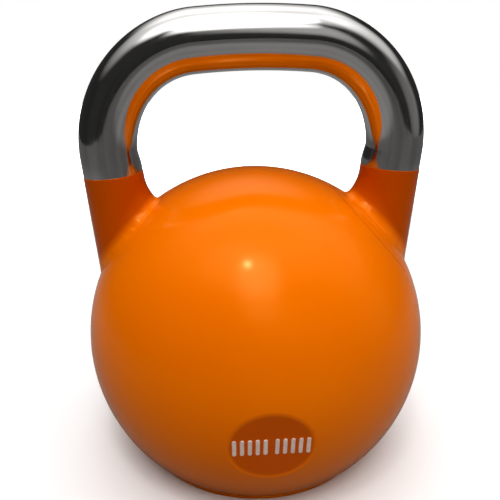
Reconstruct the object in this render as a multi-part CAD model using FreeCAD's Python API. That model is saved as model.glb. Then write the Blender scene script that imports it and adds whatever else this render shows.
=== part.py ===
import FreeCAD, Part
import math
import os

# Competition kettlebell, built as a welded and filled steel assembly.
# Millimetres. X runs along the grip bar, -Y is the front with the weight marks, +Z is up.
# The origin is the centre of the foot, on the surface the kettlebell stands on.

V = FreeCAD.Vector
UP = V(0, 0, 1)
DOWN = V(0, 0, -1)
SIDEWAYS = V(1, 0, 0)
DEPTHWISE = V(0, 1, 0)
ORIGIN = V(0, 0, 0)
MM3_TO_KG_OF_STEEL = 7.85e-6

# ball
BALL_RADIUS = 105.0
BALL_CENTRE_Z = 75.0
WALL = 4.0
BALL_CENTRE = V(0, 0, BALL_CENTRE_Z)
CAVITY_RADIUS = BALL_RADIUS - WALL

# foot plate and its filler hole
FOOT_RADIUS = 75.6
FOOT_EDGE = 0.8
BASE_SEAM_Z = 6.0
BASE_PLATE_TOP_Z = 13.0
SPIGOT_CLEARANCE = 0.3
PLUG_THREAD_RADIUS = 10.0
PLUG_HEAD_RADIUS = 15.0
PLUG_HEAD_HEIGHT = 3.6
PLUG_RECESS_RADIUS = 17.0
PLUG_RECESS_DEPTH = 5.6
PLUG_HEX_ACROSS_FLATS = 10.0
PLUG_HEX_DEPTH = 7.0
WASHER_THICKNESS = 1.2
UNDERCUT_INNER_RADIUS = 24.0
UNDERCUT_OUTER_RADIUS = 60.0
UNDERCUT_DEPTH = 1.2

# grip bar: an arched crown, two bends and two legs that lean in towards the ball
BAR_RADIUS = 16.5
BAR_WALL = 5.5
BAR_TOP_Z = BALL_CENTRE_Z + 175.2
CROWN_HALF_LENGTH = 31.4
CROWN_RISE = 1.25
BEND_RADIUS = 55.5
LEG_LEAN = math.radians(4.4)

# horns, and the polished collars between bar and horn
HORN_TOP_Z = BALL_CENTRE_Z + 104.6
HORN_TOP_RADIUS = 17.2
HORN_TAPER = 0.018
HORN_DEPTH = 82.0
HORN_FILLET = 8.5
FOOT_CIRCLE_TILT = math.radians(48.3)
FOOT_CIRCLE_HALF_ANGLE = math.radians(22.5)
COLLAR_LENGTH = 13.5
COLLAR_LIP = 0.3
COLLAR_LAND = 2.5
DOWEL_IN_LEG = 9.5
DOWEL_IN_HORN = 27.0
DOWEL_CLEARANCE = 0.05

# flat land on the front, with its row of marks
LAND_RADIUS = 23.5
LAND_TILT = math.radians(9.0)
MARK_COUNT = 10
MARK_PITCH = 4.0
MARK_GROUP_GAP = 2.0
MARK_WIDTH = 2.2
MARK_HEIGHT = 11.0
MARK_PROUD = 0.35
MARK_ROOT = 0.25

# seams and inside; the girth seam runs just above the land
GIRTH_Z = BALL_CENTRE_Z + 12.0
WELD_HALF_WIDTH = 1.6
WELD_DEPTH = 3.0
BACKING_RING_HEIGHT = 20.0
BACKING_RING_THICKNESS = 2.5
FILL_LEVEL_Z = 31.4
FILL_CLEARANCE = 0.2


def polar(radius, angle_from_up):
    """A point in the XZ plane on a circle about the ball's centre."""
    return BALL_CENTRE + V(radius * math.sin(angle_from_up), 0, radius * math.cos(angle_from_up))


def mirrored(shape):
    return shape.mirror(ORIGIN, SIDEWAYS)


def cylinder(radius, low_z, high_z):
    return Part.makeCylinder(radius, high_z - low_z, V(0, 0, low_z))


def ring(outer, inner, low_z, high_z):
    return cylinder(outer, low_z, high_z).cut(cylinder(inner, low_z, high_z))


def slab(low_z, high_z):
    """A wide box between two levels, for cutting the ball at its seams."""
    width = 4 * BALL_RADIUS
    return Part.makeBox(width, width, high_z - low_z, V(-width / 2, -width / 2, low_z))


def cut_away(shape, tools):
    """Cuts one tool after the other, which copes with tools that touch each other."""
    for tool in tools:
        shape = shape.cut(tool)
    return shape


# ---------------------------------------------------------------- grip bar centreline

CROWN_RADIUS = (CROWN_HALF_LENGTH ** 2 + CROWN_RISE ** 2) / (2 * CROWN_RISE)
CROWN_ANGLE = math.asin(CROWN_HALF_LENGTH / CROWN_RADIUS)
CROWN_CENTRE = V(0, 0, BAR_TOP_Z - CROWN_RADIUS)
BEND_START = CROWN_CENTRE + V(CROWN_RADIUS * math.sin(CROWN_ANGLE), 0, CROWN_RADIUS * math.cos(CROWN_ANGLE))
BEND_CENTRE = BEND_START - V(BEND_RADIUS * math.sin(CROWN_ANGLE), 0, BEND_RADIUS * math.cos(CROWN_ANGLE))
BEND_TURN = math.pi / 2 + LEG_LEAN - CROWN_ANGLE
LEG_START = BEND_CENTRE + V(BEND_RADIUS * math.cos(LEG_LEAN), 0, -BEND_RADIUS * math.sin(LEG_LEAN))
LEG_DOWN = V(-math.sin(LEG_LEAN), 0, -math.cos(LEG_LEAN))
LEG_UP = -LEG_DOWN
HORN_TOP = LEG_START + LEG_DOWN * ((LEG_START.z - HORN_TOP_Z) / math.cos(LEG_LEAN))
LEG_LENGTH = (HORN_TOP - LEG_START).Length


def round_section(radius):
    return Part.Face(Part.Wire(Part.Circle(V(0, 0, BAR_TOP_Z), SIDEWAYS, radius).toShape()))


def bent_bar(radius):
    """The bar as a solid rod: half a crown, a bend and a leg, then the same mirrored."""
    half_crown = round_section(radius).revolve(CROWN_CENTRE, DEPTHWISE, math.degrees(CROWN_ANGLE))
    start = round_section(radius)
    start.rotate(CROWN_CENTRE, DEPTHWISE, math.degrees(CROWN_ANGLE))
    bend = start.revolve(BEND_CENTRE, DEPTHWISE, math.degrees(BEND_TURN))
    leg = Part.makeCylinder(radius, LEG_LENGTH, LEG_START, LEG_DOWN)
    half = half_crown.fuse([bend, leg])
    return half.fuse(mirrored(half)).removeSplitter()


def handle_tube():
    return bent_bar(BAR_RADIUS).cut(bent_bar(BAR_RADIUS - BAR_WALL))


def collar():
    """A turned ring round the leg's foot, growing from the bar's size to the horn's."""
    top = COLLAR_LENGTH
    outline = Part.Wire([
        Part.LineSegment(V(0, 0, 0), V(HORN_TOP_RADIUS, 0, 0)).toShape(),
        Part.LineSegment(V(HORN_TOP_RADIUS, 0, 0), V(HORN_TOP_RADIUS, 0, COLLAR_LAND)).toShape(),
        Part.LineSegment(V(HORN_TOP_RADIUS, 0, COLLAR_LAND), V(BAR_RADIUS + COLLAR_LIP, 0, top)).toShape(),
        Part.LineSegment(V(BAR_RADIUS + COLLAR_LIP, 0, top), V(0, 0, top)).toShape(),
        Part.LineSegment(V(0, 0, top), V(0, 0, 0)).toShape(),
    ])
    blank = Part.Face(outline).revolve(ORIGIN, UP, 360)
    blank.Placement = FreeCAD.Placement(HORN_TOP, FreeCAD.Rotation(UP, LEG_UP))
    return blank.cut(bent_bar(BAR_RADIUS))


def dowel(clearance=0.0):
    """A steel pin that joins the leg's bore to the horn's socket."""
    radius = BAR_RADIUS - BAR_WALL - DOWEL_CLEARANCE + clearance
    length = DOWEL_IN_LEG + DOWEL_IN_HORN + clearance
    return Part.makeCylinder(radius, length, HORN_TOP + LEG_UP * DOWEL_IN_LEG, LEG_DOWN)


# ---------------------------------------------------------------- ball, horns and foot

FOOT_AXIS = V(math.sin(FOOT_CIRCLE_TILT), 0, math.cos(FOOT_CIRCLE_TILT))
LAND_AXIS = V(0, -math.cos(LAND_TILT), -math.sin(LAND_TILT))
LAND_DISTANCE = math.sqrt(BALL_RADIUS ** 2 - LAND_RADIUS ** 2)
GIRTH_ANGLE = math.acos((GIRTH_Z - BALL_CENTRE_Z) / BALL_RADIUS)
BASE_SEAM_ANGLE = math.acos((BALL_CENTRE_Z - BASE_SEAM_Z) / BALL_RADIUS)


def solid_ball(radius):
    """A ball whose closing line runs up the back, clear of the horns and the land."""
    ball = Part.makeSphere(radius, BALL_CENTRE)
    ball.rotate(BALL_CENTRE, UP, 90)
    return ball


def beyond_land(distance):
    """Everything further out than the flat land, or than its inner face."""
    return Part.makeCylinder(BALL_RADIUS, BALL_RADIUS, BALL_CENTRE + LAND_AXIS * distance, LAND_AXIS)


def cavity(clearance=0.0):
    """The space inside the ball, flattened behind the land so that the wall stays even."""
    space = solid_ball(CAVITY_RADIUS - clearance)
    return space.cut(beyond_land(LAND_DISTANCE - WALL - clearance))


def hollow_ball():
    outside = solid_ball(BALL_RADIUS).cut(beyond_land(LAND_DISTANCE))
    return outside.cut(cavity())


def horn_foot_cone():
    """The part of a cone from the ball's centre that bounds the patch of wall forged with a horn."""
    near = BALL_RADIUS / 2
    far = BALL_RADIUS * 2
    spread = math.tan(FOOT_CIRCLE_HALF_ANGLE)
    return Part.makeCone(near * spread, far * spread, far - near, BALL_CENTRE + FOOT_AXIS * near, FOOT_AXIS)


def weld_bead(axis, angle):
    """A V-groove bead, ground flush with the ball, round the circle at this angle from the axis."""
    half = WELD_HALF_WIDTH / BALL_RADIUS
    left = polar(BALL_RADIUS, angle - half)
    crest = polar(BALL_RADIUS, angle)
    right = polar(BALL_RADIUS, angle + half)
    root = polar(BALL_RADIUS - WELD_DEPTH, angle)
    outline = Part.Wire([
        Part.Arc(left, crest, right).toShape(),
        Part.LineSegment(right, root).toShape(),
        Part.LineSegment(root, left).toShape(),
    ])
    bead = Part.Face(outline).revolve(BALL_CENTRE, UP, 360)
    bead.rotate(BALL_CENTRE, DEPTHWISE, math.degrees(UP.getAngle(axis)))
    return bead


def is_horn_root(edge):
    """True for the curve where the horn meets the ball."""
    middle = edge.valueAt((edge.FirstParameter + edge.LastParameter) / 2)
    on_ball = abs((middle - BALL_CENTRE).Length - BALL_RADIUS) < 0.01
    along = (middle - HORN_TOP).dot(LEG_DOWN)
    from_axis = (middle - HORN_TOP - LEG_DOWN * along).Length
    return on_ball and abs(from_axis - HORN_TOP_RADIUS - HORN_TAPER * along) < 0.05


def horn(weld):
    """A forged horn: tapered stem, fillet, and its own round patch of the ball's wall."""
    low_radius = HORN_TOP_RADIUS + HORN_TAPER * HORN_DEPTH
    stem = Part.makeCone(HORN_TOP_RADIUS, low_radius, HORN_DEPTH, HORN_TOP, LEG_DOWN)
    joined = solid_ball(BALL_RADIUS).fuse(stem)
    joined = joined.makeFillet(HORN_FILLET, [edge for edge in joined.Edges if is_horn_root(edge)])
    forged = joined.common(horn_foot_cone())
    return cut_away(forged, [solid_ball(CAVITY_RADIUS), weld, dowel(DOWEL_CLEARANCE)])


def upper_shell(welds):
    half = hollow_ball().common(slab(GIRTH_Z, GIRTH_Z + BALL_RADIUS))
    cone = horn_foot_cone()
    return cut_away(half, [cone, mirrored(cone)] + welds)


def lower_shell(welds):
    middle = hollow_ball().common(slab(BASE_SEAM_Z, GIRTH_Z))
    return cut_away(middle, welds)


def base_plate(weld):
    """The foot: a thick disc that closes the ball and carries the filler thread."""
    rim = solid_ball(BALL_RADIUS).fuse(cylinder(FOOT_RADIUS, 0, BASE_SEAM_Z))
    disc = rim.common(slab(0, BASE_SEAM_Z))
    lip_radius = math.sqrt(CAVITY_RADIUS ** 2 - (BALL_CENTRE_Z - BASE_SEAM_Z) ** 2) - SPIGOT_CLEARANCE
    plate = disc.fuse(cylinder(lip_radius, BASE_SEAM_Z, BASE_PLATE_TOP_Z)).removeSplitter()
    bottom_edge = [edge for edge in plate.Edges
                   if edge.BoundBox.ZMax < 0.01 and edge.BoundBox.XMax > FOOT_RADIUS - 0.01]
    plate = plate.makeChamfer(FOOT_EDGE, bottom_edge)
    undercut = ring(UNDERCUT_OUTER_RADIUS, UNDERCUT_INNER_RADIUS, 0, UNDERCUT_DEPTH)
    recess = cylinder(PLUG_RECESS_RADIUS, 0, PLUG_RECESS_DEPTH)
    thread = cylinder(PLUG_THREAD_RADIUS, 0, BASE_PLATE_TOP_Z)
    return plate.cut([undercut, recess, thread, weld])


def hexagon_prism(across_flats, low_z, height):
    corner_radius = across_flats / math.sqrt(3)
    corners = [V(corner_radius * math.cos(math.radians(60 * i)), corner_radius * math.sin(math.radians(60 * i)), low_z)
               for i in range(7)]
    return Part.Face(Part.makePolygon(corners)).extrude(UP * height)


def plug_washer():
    top = PLUG_RECESS_DEPTH
    return ring(PLUG_HEAD_RADIUS, PLUG_THREAD_RADIUS, top - WASHER_THICKNESS, top)


def fill_plug():
    """A flanged hexagon-socket plug that sits inside its recess, clear of the floor."""
    head_top = PLUG_RECESS_DEPTH - WASHER_THICKNESS
    head_bottom = head_top - PLUG_HEAD_HEIGHT
    body = cylinder(PLUG_HEAD_RADIUS, head_bottom, head_top)
    body = body.fuse(cylinder(PLUG_THREAD_RADIUS, head_top, BASE_PLATE_TOP_Z)).removeSplitter()
    return body.cut(hexagon_prism(PLUG_HEX_ACROSS_FLATS, head_bottom, PLUG_HEX_DEPTH))


def girth_backing_ring():
    """A strip behind the girth seam, rolled to the cavity's curve."""
    low = GIRTH_Z - BACKING_RING_HEIGHT / 2
    high = GIRTH_Z + BACKING_RING_HEIGHT / 2
    inner = CAVITY_RADIUS - BACKING_RING_THICKNESS
    return cavity().common(slab(low, high)).cut(cylinder(inner, low, high))


def ballast():
    """The bonded steel shot that sets the weight: it fills the bottom of the cavity to one level."""
    return cavity(FILL_CLEARANCE).common(slab(BASE_PLATE_TOP_Z, FILL_LEVEL_Z))


def weight_mark(x):
    """One upright bar with round ends, standing a little proud of the land."""
    half_straight = (MARK_HEIGHT - MARK_WIDTH) / 2
    height = MARK_ROOT + MARK_PROUD
    bar = Part.makeBox(MARK_WIDTH, 2 * half_straight, height, V(x - MARK_WIDTH / 2, -half_straight, 0))
    ends = [Part.makeCylinder(MARK_WIDTH / 2, height, V(x, end, 0)) for end in (-half_straight, half_straight)]
    return bar.fuse(ends).removeSplitter()


def weight_marks():
    """One bar for each kilogram, in two groups of five across the land."""
    bars = []
    for i in range(MARK_COUNT):
        side = -1 if i < MARK_COUNT / 2 else 1
        x = (i - (MARK_COUNT - 1) / 2) * MARK_PITCH + side * MARK_GROUP_GAP / 2
        bars.append(weight_mark(x))
    marks = Part.makeCompound(bars)
    upright = V(0, -math.sin(LAND_TILT), math.cos(LAND_TILT))
    turn = FreeCAD.Rotation(SIDEWAYS, upright, LAND_AXIS, "ZXY")
    marks.Placement = FreeCAD.Placement(BALL_CENTRE + LAND_AXIS * (LAND_DISTANCE - MARK_ROOT), turn)
    return marks


def single_solid(name, shape):
    """The one solid in a boolean's result, so that each file holds a plain solid."""
    solids = shape.Solids
    if len(solids) != 1:
        raise ValueError("%s: expected one solid, found %d" % (name, len(solids)))
    return solids[0]


def build():
    girth_weld = weld_bead(UP, GIRTH_ANGLE)
    base_weld = weld_bead(DOWN, BASE_SEAM_ANGLE)
    right_horn_weld = weld_bead(FOOT_AXIS, FOOT_CIRCLE_HALF_ANGLE)
    left_horn_weld = mirrored(right_horn_weld)
    right_horn = horn(right_horn_weld)
    marks = weight_marks()
    nodes = {
        "upper_shell": upper_shell([girth_weld, left_horn_weld, right_horn_weld]),
        "lower_shell": lower_shell([girth_weld, base_weld] + marks.Solids),
        "girth_backing_ring": girth_backing_ring(),
        "girth_weld": girth_weld,
        "base_weld": base_weld,
        "left_horn": mirrored(right_horn),
        "right_horn": right_horn,
        "left_horn_weld": left_horn_weld,
        "right_horn_weld": right_horn_weld,
        "handle_tube": handle_tube(),
        "left_collar": mirrored(collar()),
        "right_collar": collar(),
        "left_dowel": mirrored(dowel()),
        "right_dowel": dowel(),
        "base_plate": base_plate(base_weld),
        "fill_plug": fill_plug(),
        "plug_washer": plug_washer(),
        "ballast": ballast(),
    }
    nodes = {name: single_solid(name, shape) for name, shape in nodes.items()}
    nodes["weight_marks"] = marks
    return nodes


def export(nodes):
    os.makedirs("parts", exist_ok=True)
    for name, shape in nodes.items():
        shape.exportStep("parts/%s.step" % name)
        print("%-20s valid=%s volume=%.0f steel_kg=%.3f" % (
            name, shape.isValid(), shape.Volume, shape.Volume * MM3_TO_KG_OF_STEEL))


export(build())
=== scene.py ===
import math

import bpy
import bmesh
import numpy as np
from mathutils import Matrix, Vector


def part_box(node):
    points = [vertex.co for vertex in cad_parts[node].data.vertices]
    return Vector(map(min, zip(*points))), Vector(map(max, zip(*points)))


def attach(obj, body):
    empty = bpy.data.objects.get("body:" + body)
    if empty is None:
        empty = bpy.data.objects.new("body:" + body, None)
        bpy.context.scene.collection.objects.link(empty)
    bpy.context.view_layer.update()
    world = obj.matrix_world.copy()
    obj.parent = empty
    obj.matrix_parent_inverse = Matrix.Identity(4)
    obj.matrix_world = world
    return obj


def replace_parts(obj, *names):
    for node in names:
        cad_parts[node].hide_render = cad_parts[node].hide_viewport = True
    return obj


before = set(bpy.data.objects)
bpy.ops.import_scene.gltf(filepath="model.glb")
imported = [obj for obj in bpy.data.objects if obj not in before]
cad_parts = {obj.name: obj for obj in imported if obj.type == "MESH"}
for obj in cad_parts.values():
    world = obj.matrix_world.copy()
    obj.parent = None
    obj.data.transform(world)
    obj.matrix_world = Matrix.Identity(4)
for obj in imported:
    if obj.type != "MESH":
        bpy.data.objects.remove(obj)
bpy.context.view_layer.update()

# Kettlebell looks. Metres, in the CAD frame: X along the grip bar, -Y the front, +Z up.

MM = 0.001
UP = np.array([0.0, 0.0, 1.0])
SIDEWAYS = np.array([1.0, 0.0, 0.0])
DEPTHWISE = np.array([0.0, 1.0, 0.0])

# ---------------------------------------------------------------- sizes, as in the CAD model

WALL = 4 * MM
BALL_RADIUS = 105 * MM
BALL_CENTRE = np.array([0, 0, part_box("upper_shell")[1].z - BALL_RADIUS])
INNER_SCALE = (BALL_RADIUS - WALL) / BALL_RADIUS
GIRTH_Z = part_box("upper_shell")[0].z
BASE_SEAM_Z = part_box("lower_shell")[0].z

FOOT_RADIUS = 75.6 * MM
FOOT_EDGE = 0.8 * MM
LIP_RADIUS = 73.4 * MM
PLATE_TOP_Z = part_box("base_plate")[1].z
UNDERCUT_INNER = 24 * MM
UNDERCUT_OUTER = 60 * MM
UNDERCUT_DEPTH = 1.2 * MM
THREAD_RADIUS = 10 * MM
RECESS_RADIUS = 17 * MM
RECESS_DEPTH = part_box("plug_washer")[1].z
HEX_ACROSS_FLATS = 10 * MM
HEX_DEPTH = 7 * MM

BAR_RADIUS = 16.5 * MM
BAR_WALL = 5.5 * MM
BAR_TOP_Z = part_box("handle_tube")[1].z - BAR_RADIUS
CROWN_HALF_LENGTH = 31.4 * MM
CROWN_RISE = 1.25 * MM
BEND_RADIUS = 55.5 * MM
LEG_LEAN = math.radians(4.4)

HORN_TOP_Z = BALL_CENTRE[2] + 104.6 * MM
HORN_TOP_RADIUS = 17.2 * MM
HORN_TAPER = 0.018
FOOT_CIRCLE_TILT = math.radians(48.3)
FOOT_CIRCLE_HALF_ANGLE = math.radians(22.5)
COLLAR_LENGTH = 13.5 * MM
SOCKET_DEPTH = 27 * MM

LAND_RADIUS = 23.5 * MM
LAND_TILT = math.radians(9.0)
MARK_COUNT = 10
MARK_PITCH = 4.0 * MM
MARK_GROUP_GAP = 2.0 * MM
MARK_WIDTH = 2.2 * MM
MARK_HEIGHT = 11.0 * MM

# ---------------------------------------------------------------- finer sizes, for the looks only

# Softened edges of the foot plate, the plug and its washer, and the plug socket's bevel.
PLATE_EDGE = 0.35 * MM
WASHER_EDGE = 0.3 * MM
PLUG_EDGE = 0.5 * MM
HEX_BEVEL = 0.6 * MM

# Bending narrows the bar in its own plane, as shares of its radius: in the bends, and on down the legs.
BEND_NARROWING = 0.035
BEND_NARROWING_SKEW = 0.7
LEG_NARROWING = 0.015

# The leg swells towards the horn and is a little hollow on its inner side.
LEG_SWELL_LENGTH = 40 * MM
LEG_HOLLOW = 0.6 * MM

# The collar is ground almost flush with the bar and bulges on its inner side, a little towards the back.
COLLAR_LIP = 0.02 * MM
COLLAR_LAND = 1.5 * MM
COLLAR_WRAP = 0.3 * MM
COLLAR_STEP = 0.25 * MM
BULGE_PLACE = math.radians(150)
BULGE_REACH = math.radians(75)

# The horn runs into the ball by a wide flare and then a small crease.
HORN_LIP = 0.35 * MM
FLARE_RADIUS = 25 * MM
FLARE_TURN = math.radians(32)
CREASE_RADIUS = 3 * MM

LAND_EDGE = 0.35 * MM
MARK_PROUD = 0.33 * MM
MARK_ROOT = 0.2 * MM
MARK_EDGE = 0.3 * MM

# Distances along the bar count this much in the polishing pattern, which draws it out into lines.
STREAK_SHORTENING = 0.03

# Steps round each surface, then steps, samples and rings along it.
ROUND_STEPS = 256
HORN_STEPS = 192
BAR_STEPS = 128
PLUG_STEPS = 96
MARK_END_STEPS = 20
CORNER_STEPS = 5
LIP_STEPS = 6
CREASE_STEPS = 12
FLARE_STEPS = 24
CROWN_SAMPLES = 17
BEND_SAMPLES = 65
LEG_SAMPLES = 9
COLLAR_BEND_SAMPLES = 9
COLLAR_LEG_SAMPLES = 25
STEM_SAMPLES = 17
LAND_RINGS = 12
CAP_RINGS = 16

# Tolerances. Points that round to the same merge step become one vertex of a piece.
MERGE_STEP = 0.001 * MM
CUT_TOLERANCE = 1e-6
BISECT_TOLERANCE = 1e-7
ANGLE_DECIMALS = 7
SAME_PLACE = 1e-9


# ---------------------------------------------------------------- mesh building
# A surface is a list of patches. A patch is a grid of points with a grid of exact normals,
# or None for flat shading, and it closes on itself round its columns.


def unit(vectors):
    vectors = np.asarray(vectors, float)
    return vectors / np.linalg.norm(vectors, axis=-1, keepdims=True)


def patch(points, normals=None):
    return {"points": np.asarray(points, float), "normals": normals}


def patch_faces(grid):
    """Quads of a patch as (corner points, corner normals)."""
    points = grid["points"]
    rows, columns = points.shape[:2]
    row, column = np.meshgrid(np.arange(rows - 1), np.arange(columns), indexing="ij")
    following = (column + 1) % columns
    corners = [(row, column), (row, following), (row + 1, following), (row + 1, column)]
    quads = np.stack([points[r, c] for r, c in corners], axis=2).reshape(-1, 4, 3)
    facing = np.cross(quads[:, 2] - quads[:, 0], quads[:, 3] - quads[:, 1])
    if grid["normals"] is None:
        length = np.linalg.norm(facing, axis=1, keepdims=True)
        facing = facing / np.where(length > 0, length, 1)
        return quads, np.repeat(facing[:, None, :], 4, axis=1)
    normals = np.stack([grid["normals"][r, c] for r, c in corners], axis=2).reshape(-1, 4, 3)
    if np.sum(facing * normals.mean(axis=1)) < 0:
        quads = quads[:, ::-1]
        normals = normals[:, ::-1]
    return quads, normals


def loose_faces(patches):
    """All the faces of a list of patches, as lists of corner points and corner normals."""
    corners, normals = [], []
    for grid in patches:
        quads, quad_normals = patch_faces(grid)
        corners.extend(quads)
        normals.extend(quad_normals)
    return corners, normals


def build_mesh(name, corners, normals, material):
    """Joins loose faces into one mesh with shared vertices and its own corner normals."""
    counts = [len(face) for face in corners]
    flat = np.concatenate(corners)
    keys = np.round(flat / MERGE_STEP).astype(np.int64)
    first, index = np.unique(keys, axis=0, return_index=True, return_inverse=True)[1:]
    index = index.reshape(-1)
    faces, face_normals = [], []
    start = 0
    for face, count in enumerate(counts):
        ids = index[start:start + count]
        keep = [i for i in range(count) if ids[i] != ids[i - 1]]
        start += count
        if len(keep) < 3 or len(set(ids[keep])) < len(keep):
            continue
        faces.append([int(ids[i]) for i in keep])
        face_normals.extend(normals[face][i] for i in keep)
    mesh = bpy.data.meshes.new(name)
    mesh.from_pydata([tuple(p) for p in flat[first]], [], faces)
    mesh.polygons.foreach_set("use_smooth", [True] * len(faces))
    mesh.normals_split_custom_set([tuple(n) for n in unit(face_normals)])
    mesh.update()
    piece = bpy.data.objects.new(name, mesh)
    bpy.context.scene.collection.objects.link(piece)
    mesh.materials.append(material)
    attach(piece, "root")
    return piece


def build(name, patches, material):
    corners, normals = loose_faces(patches)
    return build_mesh(name, corners, normals, material)


# Outlines for turned pieces: runs of (radius, height) with normals, walked with the material on the left.


def straight(start, end):
    ends = np.array([start, end], float)
    along = unit(ends[1] - ends[0])
    normal = np.array([along[1], -along[0]])
    return ends, np.array([normal, normal])


def round_run(centre, radius, start, end, steps):
    """An arc from one angle to another; a clockwise one is hollow, so its normals point in."""
    angle = np.linspace(start, end, steps + 1)
    out = np.stack([np.cos(angle), np.sin(angle)], axis=1)
    sign = 1 if end > start else -1
    return np.array(centre) + radius * out, sign * out


def corner_cut(before, here, after, radius):
    """Where a rounded corner starts and ends on its two sides, with the corner itself and half its angle."""
    before, here, after = np.array(before), np.array(here), np.array(after)
    to_before, to_after = unit(before - here), unit(after - here)
    half = math.acos(np.clip(to_before @ to_after, -1, 1)) / 2
    reach = radius / math.tan(half)
    return here + to_before * reach, here + to_after * reach, here, half


def rounded_outline(corners):
    """A closed outline from (radius, height, corner radius) points, its corners rounded."""
    places = [corner[:2] for corner in corners]
    following = places[1:] + places[:1]
    cuts = [corner_cut(places[i - 1], places[i], following[i], corners[i][2]) for i in range(len(corners))]
    runs = []
    for i, (entry, leave, here, half) in enumerate(cuts):
        runs.append(straight(cuts[i - 1][1], entry))
        radius = corners[i][2]
        if radius > 0:
            middle = here + unit((entry + leave) / 2 - here) * radius / math.sin(half)
            start = math.atan2(*(entry - middle)[::-1])
            end = math.atan2(*(leave - middle)[::-1])
            turn = (end - start + math.pi) % (2 * math.pi) - math.pi
            runs.append(round_run(middle, radius, start, start + turn, CORNER_STEPS))
    return runs


def revolve(runs, origin, axis, across, angles):
    """Turns runs of an outline about an axis, starting from the direction across."""
    side = np.cross(axis, across)
    spin = np.cos(angles)[:, None] * across + np.sin(angles)[:, None] * side
    grids = []
    for points, normals in runs:
        place = origin + points[:, :1, None] * spin + points[:, 1:, None] * axis
        facing = normals[:, :1, None] * spin + normals[:, 1:, None] * axis
        grids.append(patch(place, unit(facing)))
    return grids


def turn_angles(steps):
    return np.linspace(0, 2 * math.pi, steps, endpoint=False)


def turned(runs, steps=ROUND_STEPS):
    """A piece turned about the kettlebell's own upright axis."""
    return revolve(runs, np.zeros(3), UP, SIDEWAYS, turn_angles(steps))


# ---------------------------------------------------------------- ball shells

FOOT_AXIS = np.array([math.sin(FOOT_CIRCLE_TILT), 0, math.cos(FOOT_CIRCLE_TILT)])
LAND_AXIS = np.array([0, -math.cos(LAND_TILT), -math.sin(LAND_TILT)])
LAND_DISTANCE = math.sqrt(BALL_RADIUS ** 2 - LAND_RADIUS ** 2)


def cut_ball(planes):
    """Corners of a ball's faces after cutting away what lies beyond each (direction, distance) plane."""
    ball = bmesh.new()
    bmesh.ops.create_uvsphere(
        ball, u_segments=ROUND_STEPS, v_segments=ROUND_STEPS // 2, radius=BALL_RADIUS)
    for direction, distance in planes:
        everything = list(ball.verts) + list(ball.edges) + list(ball.faces)
        bmesh.ops.bisect_plane(
            ball, geom=everything, dist=BISECT_TOLERANCE, plane_co=Vector(direction * distance),
            plane_no=Vector(direction), clear_outer=True)
    for vertex in ball.verts:
        vertex.co = Vector(on_ball(np.array(vertex.co), planes))
    corners = [np.array([corner.vert.co for corner in face.loops]) for face in ball.faces]
    ball.free()
    return corners


def on_ball(point, planes):
    """Moves a point onto the ball, along the edge of a cut if it lies on one."""
    for direction, distance in planes:
        if abs(point @ direction - distance) < CUT_TOLERANCE:
            flat = point - direction * (point @ direction)
            return direction * distance + unit(flat) * math.sqrt(BALL_RADIUS ** 2 - distance ** 2)
    return unit(point) * BALL_RADIUS


def rim_edges(corners):
    """Edges that belong to one face only, in that face's order."""
    seen = {}
    for face in corners:
        keys = [tuple(key) for key in np.round(face / MERGE_STEP).astype(np.int64)]
        for i in range(len(face)):
            pair = frozenset((keys[i - 1], keys[i]))
            seen.setdefault(pair, []).append((face[i - 1], face[i]))
    return [edges[0] for pair, edges in seen.items() if len(edges) == 1 and len(pair) == 2]


def shell(name, corners, normals, material):
    """Gives the ball's outer skin its wall: an inner skin, and a wall along each open edge."""
    inner = [face[::-1] * INNER_SCALE for face in corners]
    inner_normals = [-facing[::-1] for facing in normals]
    walls, wall_normals = [], []
    for start, end in rim_edges(corners):
        quad = np.array([end, start, start * INNER_SCALE, end * INNER_SCALE])
        facing = np.cross(quad[1] - quad[0], quad[2] - quad[1])
        walls.append(quad)
        wall_normals.append(np.tile(unit(facing), (4, 1)))
    everything = [face + BALL_CENTRE for face in corners + inner + walls]
    return build_mesh(name, everything, normals + inner_normals + wall_normals, material)


def upper_shell(material):
    right = FOOT_AXIS
    left = FOOT_AXIS * [-1, 1, 1]
    edge = BALL_RADIUS * math.cos(FOOT_CIRCLE_HALF_ANGLE)
    girth = (-UP, BALL_CENTRE[2] - GIRTH_Z)
    corners = cut_ball([girth, (right, edge), (left, edge)])
    normals = [unit(face) for face in corners]
    return shell("upper_shell_enamelled", corners, normals, material)


def land_patches(edge_ring):
    """From the cut in the ball: a softened edge, then the flat land in to its middle."""
    flat_radius = LAND_RADIUS - LAND_EDGE
    around = unit(edge_ring - LAND_AXIS * (edge_ring @ LAND_AXIS)[:, None])
    outward = np.tile(LAND_AXIS, (len(edge_ring), 1))
    middle = LAND_AXIS * LAND_DISTANCE
    rings = [middle + around * radius for radius in np.linspace(flat_radius, 0, LAND_RINGS)]
    edge = patch(np.stack([edge_ring, rings[0]]), np.stack([unit(edge_ring), outward]))
    return [edge, patch(np.stack(rings), np.stack([outward] * LAND_RINGS))]


def land_edge_ring(points):
    """The points that lie on the land's edge, once each and in order round it."""
    upright = np.cross(SIDEWAYS, LAND_AXIS)
    angle = np.round(np.arctan2(points @ upright, points @ SIDEWAYS), ANGLE_DECIMALS)
    first = np.unique(angle, return_index=True)[1]
    return points[first]


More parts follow.
